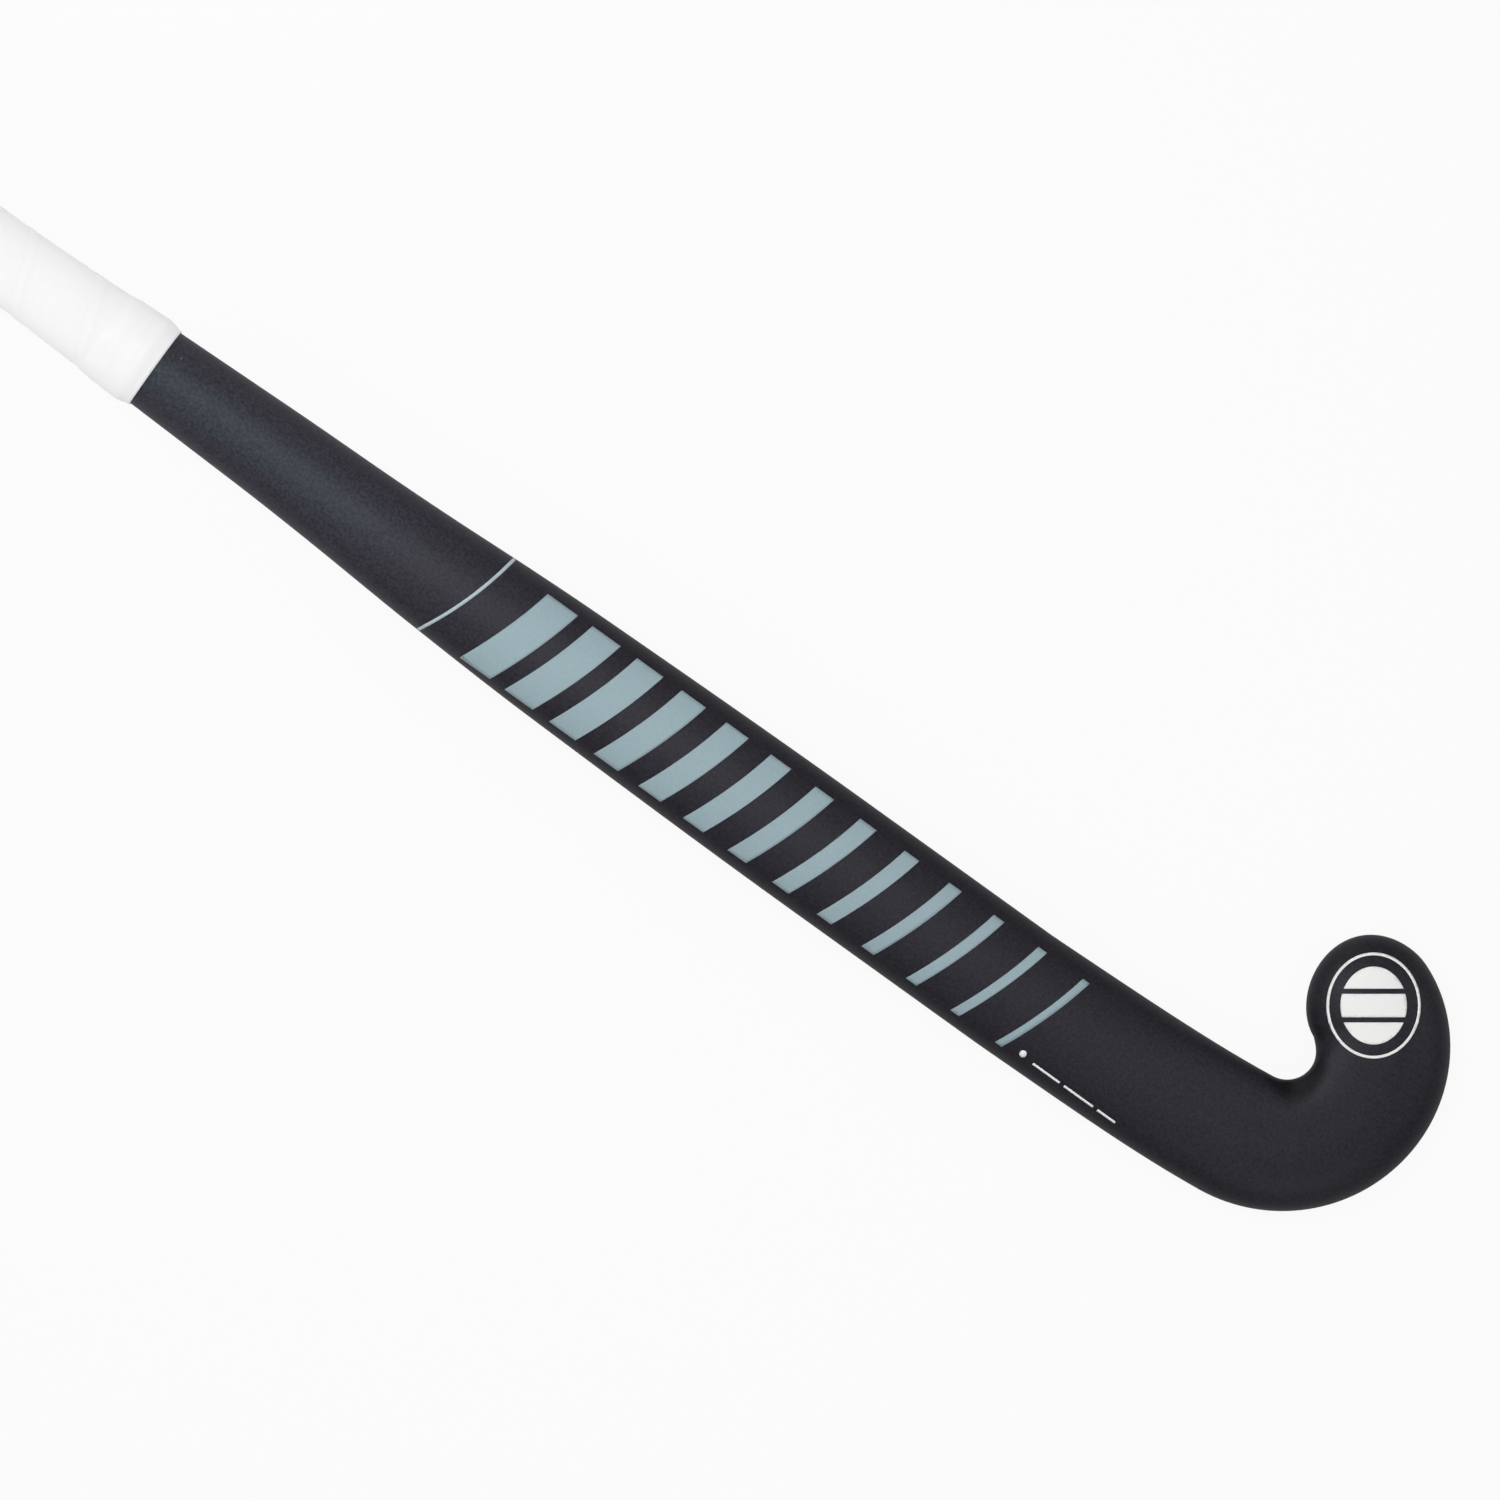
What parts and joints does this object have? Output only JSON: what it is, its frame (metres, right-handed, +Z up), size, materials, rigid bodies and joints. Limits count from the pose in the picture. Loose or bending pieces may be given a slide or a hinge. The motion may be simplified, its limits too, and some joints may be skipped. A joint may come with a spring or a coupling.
{
  "type": "indoor hockey stick",
  "caption": "Slim dark stick with a tight hooked head, flat on the playing face and rounded on the back, a shaft that narrows to a round handle, and a white wound grip.",
  "frame": {"origin": "under the middle of the stick's footprint, on the surface that it lies on with its flat face down", "axes": "+X from the butt to the head, +Y towards the toe, +Z up, away from the flat face"},
  "size_m": [0.9269, 0.1204, 0.0462],
  "materials": {
    "lacquered_fibre": "matte soft-touch lacquer over moulded fibre",
    "mulberry": "planed",
    "cane": "turned",
    "spring_rubber": "cut sheet",
    "waxed_thread": "close wound",
    "foam": "closed cell foam",
    "butt_rubber": "moulded",
    "white_grip": "soft cushioned strip",
    "white_tape": "smooth self-adhesive tape"
  },
  "bodies": {
    "root": {"fibre_sleeve": "lacquered_fibre", "heel_side_lamination_1": "mulberry", "heel_side_lamination_2": "mulberry", "heel_side_lamination_3": "mulberry", "heel_side_lamination_4": "mulberry", "toe_side_lamination_1": "mulberry", "toe_side_lamination_2": "mulberry", "toe_side_lamination_3": "mulberry", "toe_side_lamination_4": "mulberry", "front_cane_stave": "cane", "middle_cane_stave": "cane", "back_cane_stave": "cane", "front_rubber_spring": "spring_rubber", "back_rubber_spring": "spring_rubber", "thread_binding": "waxed_thread", "grip_underlay": "foam", "butt_cap": "butt_rubber", "grip_tape": "white_grip", "finishing_tape": "white_tape"}
  },
  "joints": []
}
